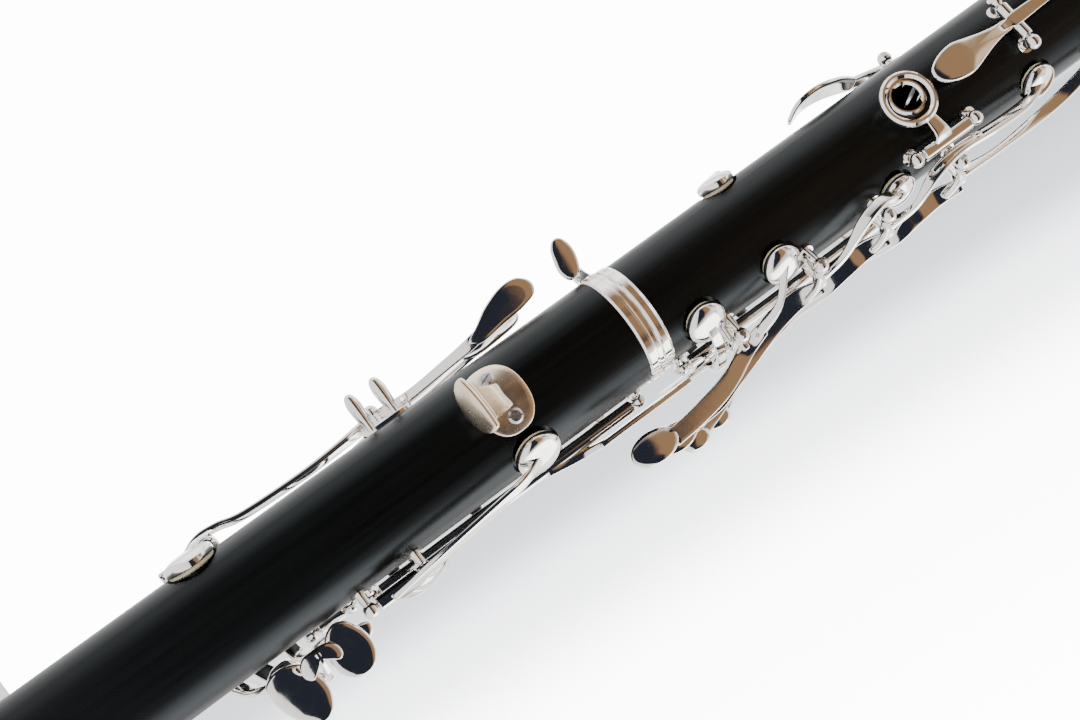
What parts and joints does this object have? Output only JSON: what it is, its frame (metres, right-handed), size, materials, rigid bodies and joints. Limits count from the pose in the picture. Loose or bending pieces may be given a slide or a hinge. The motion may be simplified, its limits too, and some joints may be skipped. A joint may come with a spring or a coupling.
{
  "type": "clarinet",
  "caption": "Boehm-system clarinet standing on its bell: wooden bell, two joints and barrel, silver-plated keys on posts, mouthpiece with reed and ligature.",
  "frame": {"origin": "centre of the bell's rim plane, on the bore's axis", "axes": "+Z along the bore towards the mouthpiece, +Y towards the player's thumb side (back), tone holes and finger rings face -Y, +X is the player's left"},
  "size_m": [0.079, 0.079, 0.669],
  "materials": {
    "grenadilla": "satin oiled grenadilla, near black with a dark brown grain",
    "silver": "polished silver plate",
    "pad": "cream pad skin",
    "cork": "natural cork",
    "ebonite": "polished black ebonite",
    "cane": "dry cane",
    "steel": "blued or bright steel"
  },
  "bodies": {
    "instrument": {"barrel": "grenadilla", "barrel_rings": "silver", "bell": "grenadilla", "bell_rings": "silver", "bore_inserts": "silver", "lever_saddle": "silver", "ligature_band": "silver", "ligature_screws": "silver", "lower_joint": "grenadilla", "lower_joint_rings": "silver", "mouthpiece": "ebonite", "posts_lower": "silver", "posts_upper": "silver", "reed": "cane", "rods_lower": "steel", "rods_upper": "steel", "saddle_screws": "steel", "tenon_corks": "cork", "thumb_rest": "silver", "thumb_rest_screws": "steel", "upper_joint": "grenadilla", "upper_joint_rings": "silver"},
    "register": {"register_key": "silver", "register_pad": "pad"},
    "thumb_ring": {"thumb_ring_key": "silver"},
    "upper_rings": {"upper_ring_key": "silver", "upper_ring_pad": "pad"},
    "lower_rings": {"lower_ring_key": "silver", "lower_ring_pad": "pad"},
    "throat_a": {"throat_a_key": "silver", "throat_a_pad": "pad"},
    "throat_g_sharp": {"throat_g_sharp_key": "silver", "throat_g_sharp_pad": "pad"},
    "side_1": {"side_1_key": "silver", "side_1_pad": "pad"},
    "side_2": {"side_2_key": "silver", "side_2_pad": "pad"},
    "side_3": {"side_3_key": "silver", "side_3_pad": "pad"},
    "side_4": {"side_4_key": "silver", "side_4_pad": "pad"},
    "c_sharp": {"c_sharp_key": "silver", "c_sharp_pad": "pad"},
    "sliver_upper": {"sliver_key_upper": "silver", "sliver_pad_upper": "pad"},
    "sliver_lower": {"sliver_key_lower": "silver", "sliver_pad_lower": "pad"},
    "a_flat": {"a_flat_key": "silver", "a_flat_pad": "pad"},
    "f_sharp": {"f_sharp_key": "silver", "f_sharp_pad": "pad"},
    "f": {"f_key": "silver", "f_pad": "pad"},
    "e": {"e_key": "silver", "e_pad": "pad"},
    "lever_e": {"e_lever": "silver"},
    "lever_f_sharp": {"f_sharp_lever": "silver"}
  },
  "joints": [
    {"name": "register_hinge", "type": "hinge", "parent": "instrument", "child": "register", "pos_m": [0, 0.0167, 0.4575], "axis": [-1, 0, 0], "range_deg": [0, 5], "stiffness_Nm_per_rad": 0.06, "springref_deg": -14.32},
    {"name": "thumb_ring_hinge", "type": "hinge", "parent": "instrument", "child": "thumb_ring", "pos_m": [-0.01243, 0.01159, 0.4255], "axis": [0, 0, -1], "range_deg": [0, 4], "stiffness_Nm_per_rad": 0.06, "springref_deg": -14.32},
    {"name": "upper_rings_hinge", "type": "hinge", "parent": "instrument", "child": "upper_rings", "pos_m": [-0.01492, -0.00793, 0.3758], "axis": [0, 0, 1], "range_deg": [0, 6], "stiffness_Nm_per_rad": 0.06, "springref_deg": -14.32},
    {"name": "lower_rings_hinge", "type": "hinge", "parent": "instrument", "child": "lower_rings", "pos_m": [-0.01492, -0.00793, 0.291], "axis": [0, 0, 1], "range_deg": [0, 6], "stiffness_Nm_per_rad": 0.06, "springref_deg": -14.32},
    {"name": "throat_a_hinge", "type": "hinge", "parent": "instrument", "child": "throat_a", "pos_m": [0.00237, -0.01683, 0.457], "axis": [0.9903, 0.1392, 0], "range_deg": [0, 6], "stiffness_Nm_per_rad": 0.06, "springref_deg": -14.32},
    {"name": "throat_g_sharp_hinge", "type": "hinge", "parent": "instrument", "child": "throat_g_sharp", "pos_m": [0.01501, -0.00798, 0.436], "axis": [0.4695, 0.8829, 0], "range_deg": [0, 4.5], "stiffness_Nm_per_rad": 0.06, "springref_deg": -14.32},
    {"name": "side_1_hinge", "type": "hinge", "parent": "instrument", "child": "side_1", "pos_m": [-0.01929, -0.00067, 0.3565], "axis": [0.0349, -0.9994, 0], "range_deg": [0, 6], "stiffness_Nm_per_rad": 0.06, "springref_deg": -14.32},
    {"name": "side_2_hinge", "type": "hinge", "parent": "instrument", "child": "side_2", "pos_m": [-0.01888, 0.00401, 0.3815], "axis": [-0.2079, -0.9781, 0], "range_deg": [0, 3.5], "stiffness_Nm_per_rad": 0.06, "springref_deg": -14.32},
    {"name": "side_3_hinge", "type": "hinge", "parent": "instrument", "child": "side_3", "pos_m": [-0.01888, 0.00401, 0.403], "axis": [-0.2079, -0.9781, 0], "range_deg": [0, 3], "stiffness_Nm_per_rad": 0.06, "springref_deg": -14.32},
    {"name": "side_4_hinge", "type": "hinge", "parent": "instrument", "child": "side_4", "pos_m": [-0.01901, 0.00335, 0.427], "axis": [-0.1736, -0.9848, 0], "range_deg": [0, 3], "stiffness_Nm_per_rad": 0.06, "springref_deg": -14.32},
    {"name": "c_sharp_hinge", "type": "hinge", "parent": "instrument", "child": "c_sharp", "pos_m": [0, -0.0172, 0.3496], "axis": [0, 0, 1], "range_deg": [0, 5], "stiffness_Nm_per_rad": 0.06, "springref_deg": -14.32},
    {"name": "sliver_upper_hinge", "type": "hinge", "parent": "instrument", "child": "sliver_upper", "pos_m": [0.01393, -0.00939, 0.38775], "axis": [0, 0, -1], "range_deg": [0, 8], "stiffness_Nm_per_rad": 0.06, "springref_deg": -14.32},
    {"name": "sliver_lower_hinge", "type": "hinge", "parent": "instrument", "child": "sliver_lower", "pos_m": [-0.0186, 0, 0.25675], "axis": [0, 0, 1], "range_deg": [0, 10], "stiffness_Nm_per_rad": 0.06, "springref_deg": -14.32},
    {"name": "a_flat_hinge", "type": "hinge", "parent": "instrument", "child": "a_flat", "pos_m": [-0.01252, -0.01209, 0.2416], "axis": [0, 0, -1], "range_deg": [0, 10], "stiffness_Nm_per_rad": 0.06, "springref_deg": -14.32},
    {"name": "f_sharp_hinge", "type": "hinge", "parent": "instrument", "child": "f_sharp", "pos_m": [0, -0.0176, 0.23025], "axis": [0, 0, -1], "range_deg": [0, 5], "stiffness_Nm_per_rad": 0.06, "springref_deg": -14.32},
    {"name": "f_hinge", "type": "hinge", "parent": "instrument", "child": "f", "pos_m": [0.00933, -0.01493, 0.205], "axis": [0, 0, -1], "range_deg": [0, 7], "stiffness_Nm_per_rad": 0.06, "springref_deg": -14.32},
    {"name": "e_hinge", "type": "hinge", "parent": "instrument", "child": "e", "pos_m": [0.01384, -0.00934, 0.19375], "axis": [0, 0, -1], "range_deg": [0, 6], "stiffness_Nm_per_rad": 0.06, "springref_deg": -14.32},
    {"name": "lever_e_hinge", "type": "hinge", "parent": "instrument", "child": "lever_e", "pos_m": [0.01642, -0.00873, 0.277], "axis": [-0.4695, -0.8829, 0], "range_deg": [0, 1], "stiffness_Nm_per_rad": 0.06, "springref_deg": -14.32},
    {"name": "lever_f_sharp_hinge", "type": "hinge", "parent": "instrument", "child": "lever_f_sharp", "pos_m": [0.01642, -0.00873, 0.277], "axis": [-0.4695, -0.8829, 0], "range_deg": [0, 1.5], "stiffness_Nm_per_rad": 0.06, "springref_deg": -14.32}
  ],
  "couplings": [
    {"joint": "upper_rings_hinge", "follows": "lower_rings_hinge", "ratio": 1},
    {"joint": "lever_e_hinge", "follows": "e_hinge", "ratio": 0.1},
    {"joint": "lever_f_sharp_hinge", "follows": "f_sharp_hinge", "ratio": 0.29}
  ]
}
